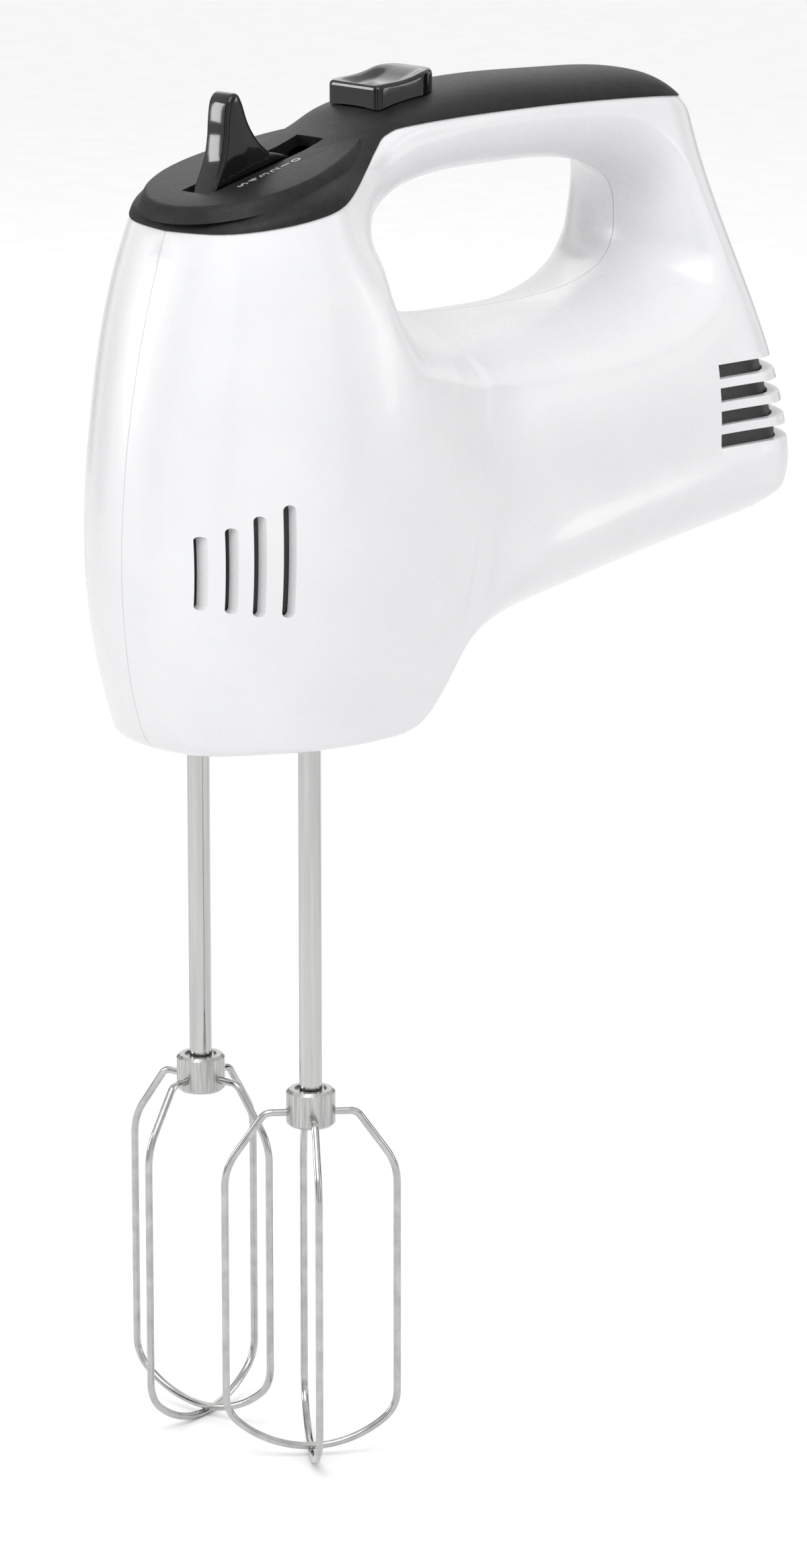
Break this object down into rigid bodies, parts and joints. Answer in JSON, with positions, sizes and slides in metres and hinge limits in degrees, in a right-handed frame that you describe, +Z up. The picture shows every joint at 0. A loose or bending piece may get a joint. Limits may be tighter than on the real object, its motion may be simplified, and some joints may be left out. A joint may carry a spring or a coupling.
{
  "type": "hand mixer",
  "caption": "Hand mixer: white split housing with an open handle, black top cover with a speed lever and eject button, and wire beaters driven by a worm gearbox.",
  "frame": {"origin": "bottom centre of the overall box, level with the tips of the beaters, on the middle plane", "axes": "+Z up along the beaters, +X from the nose to the tail, +Y to the mixer's right side"},
  "size_m": [0.197, 0.0842, 0.3322],
  "materials": {
    "white_housing": "gloss",
    "black_cover": "fine texture",
    "gloss_black": "gloss",
    "inner_plastic": "matt",
    "gear_plastic": "satin",
    "polished_steel": "polished",
    "turned_steel": "turned",
    "laminated_steel": "laminated",
    "copper": "enamelled",
    "bronze": "sintered",
    "carbon": "carbon",
    "board": "laminate",
    "capacitor_yellow": "moulded",
    "rubber": "matt"
  },
  "bodies": {
    "housing": {"brush_holders": "inner_plastic", "brush_springs": "turned_steel", "carbon_brushes": "carbon", "control_board": "board", "cord_inlet_bush": "rubber", "field_coils": "copper", "front_bearing": "turned_steel", "gearbox_frame": "inner_plastic", "housing_screws": "turned_steel", "left_air_guide": "inner_plastic", "left_housing_shell": "white_housing", "lever_pivot_pin": "turned_steel", "lower_spindle_bushes": "bronze", "rear_bearing": "turned_steel", "rear_bearing_bracket": "inner_plastic", "rear_grille": "inner_plastic", "right_air_guide": "inner_plastic", "right_housing_shell": "white_housing", "speed_switch": "inner_plastic", "stator_core": "laminated_steel", "suppression_capacitor": "capacitor_yellow", "switch_contacts": "bronze", "top_cover": "black_cover", "upper_spindle_bushes": "bronze", "worm_end_bush": "bronze", "yoke_return_spring": "turned_steel"},
    "rotor": {"motor_shaft": "turned_steel", "worm": "turned_steel", "armature_core": "laminated_steel", "armature_windings": "copper", "commutator": "copper", "cooling_fan": "inner_plastic"},
    "speed_lever": {"speed_lever": "gloss_black"},
    "eject_button": {"eject_button": "gloss_black", "ejector_slider": "inner_plastic"},
    "ejector_yoke": {"ejector_yoke": "inner_plastic"},
    "left_spindle": {"left_spindle": "turned_steel", "left_worm_wheel": "gear_plastic"},
    "left_push_pin": {"left_push_pin": "turned_steel"},
    "left_beater": {"left_beater_shaft": "polished_steel", "left_beater_collar": "turned_steel", "left_beater_outer_wire": "polished_steel", "left_beater_inner_wire": "polished_steel"},
    "right_spindle": {"right_spindle": "turned_steel", "right_worm_wheel": "gear_plastic"},
    "right_push_pin": {"right_push_pin": "turned_steel"},
    "right_beater": {"right_beater_shaft": "polished_steel", "right_beater_collar": "turned_steel", "right_beater_outer_wire": "polished_steel", "right_beater_inner_wire": "polished_steel"}
  },
  "joints": [
    {"name": "motor_spin", "type": "hinge", "parent": "housing", "child": "rotor", "pos_m": [0, 0, 0.232], "axis": [1, 0, 0], "continuous": true},
    {"name": "lever_turn", "type": "hinge", "parent": "housing", "child": "speed_lever", "pos_m": [-0.056, 0, 0.3], "axis": [0, 1, 0], "range_deg": [0, 22]},
    {"name": "eject_press", "type": "slide", "parent": "housing", "child": "eject_button", "axis": [-1, 0, 0], "range_m": [0, 0.0045], "stiffness_N_per_m": 600, "springref_m": -0.002},
    {"name": "yoke_drop", "type": "slide", "parent": "housing", "child": "ejector_yoke", "axis": [0, 0, -1], "range_m": [0, 0.0045], "deforming": ["yoke_return_spring"]},
    {"name": "left_spindle_spin", "type": "hinge", "parent": "housing", "child": "left_spindle", "pos_m": [-0.058, -0.02, 0.232], "axis": [0, 0, 1], "continuous": true},
    {"name": "left_pin_drop", "type": "slide", "parent": "left_spindle", "child": "left_push_pin", "axis": [0, 0, -1], "range_m": [0, 0.0045]},
    {"name": "left_beater_pull", "type": "slide", "parent": "left_push_pin", "child": "left_beater", "axis": [0, 0, -1], "range_m": [0, 0.046]},
    {"name": "right_spindle_spin", "type": "hinge", "parent": "housing", "child": "right_spindle", "pos_m": [-0.058, 0.02, 0.232], "axis": [0, 0, 1], "continuous": true},
    {"name": "right_pin_drop", "type": "slide", "parent": "right_spindle", "child": "right_push_pin", "axis": [0, 0, -1], "range_m": [0, 0.0045]},
    {"name": "right_beater_pull", "type": "slide", "parent": "right_push_pin", "child": "right_beater", "axis": [0, 0, -1], "range_m": [0, 0.046]}
  ],
  "couplings": [
    {"joint": "yoke_drop", "follows": "eject_press", "ratio": 1},
    {"joint": "left_spindle_spin", "follows": "motor_spin", "ratio": 0.066667},
    {"joint": "left_pin_drop", "follows": "eject_press", "ratio": 1},
    {"joint": "right_spindle_spin", "follows": "motor_spin", "ratio": -0.066667},
    {"joint": "right_pin_drop", "follows": "eject_press", "ratio": 1}
  ]
}
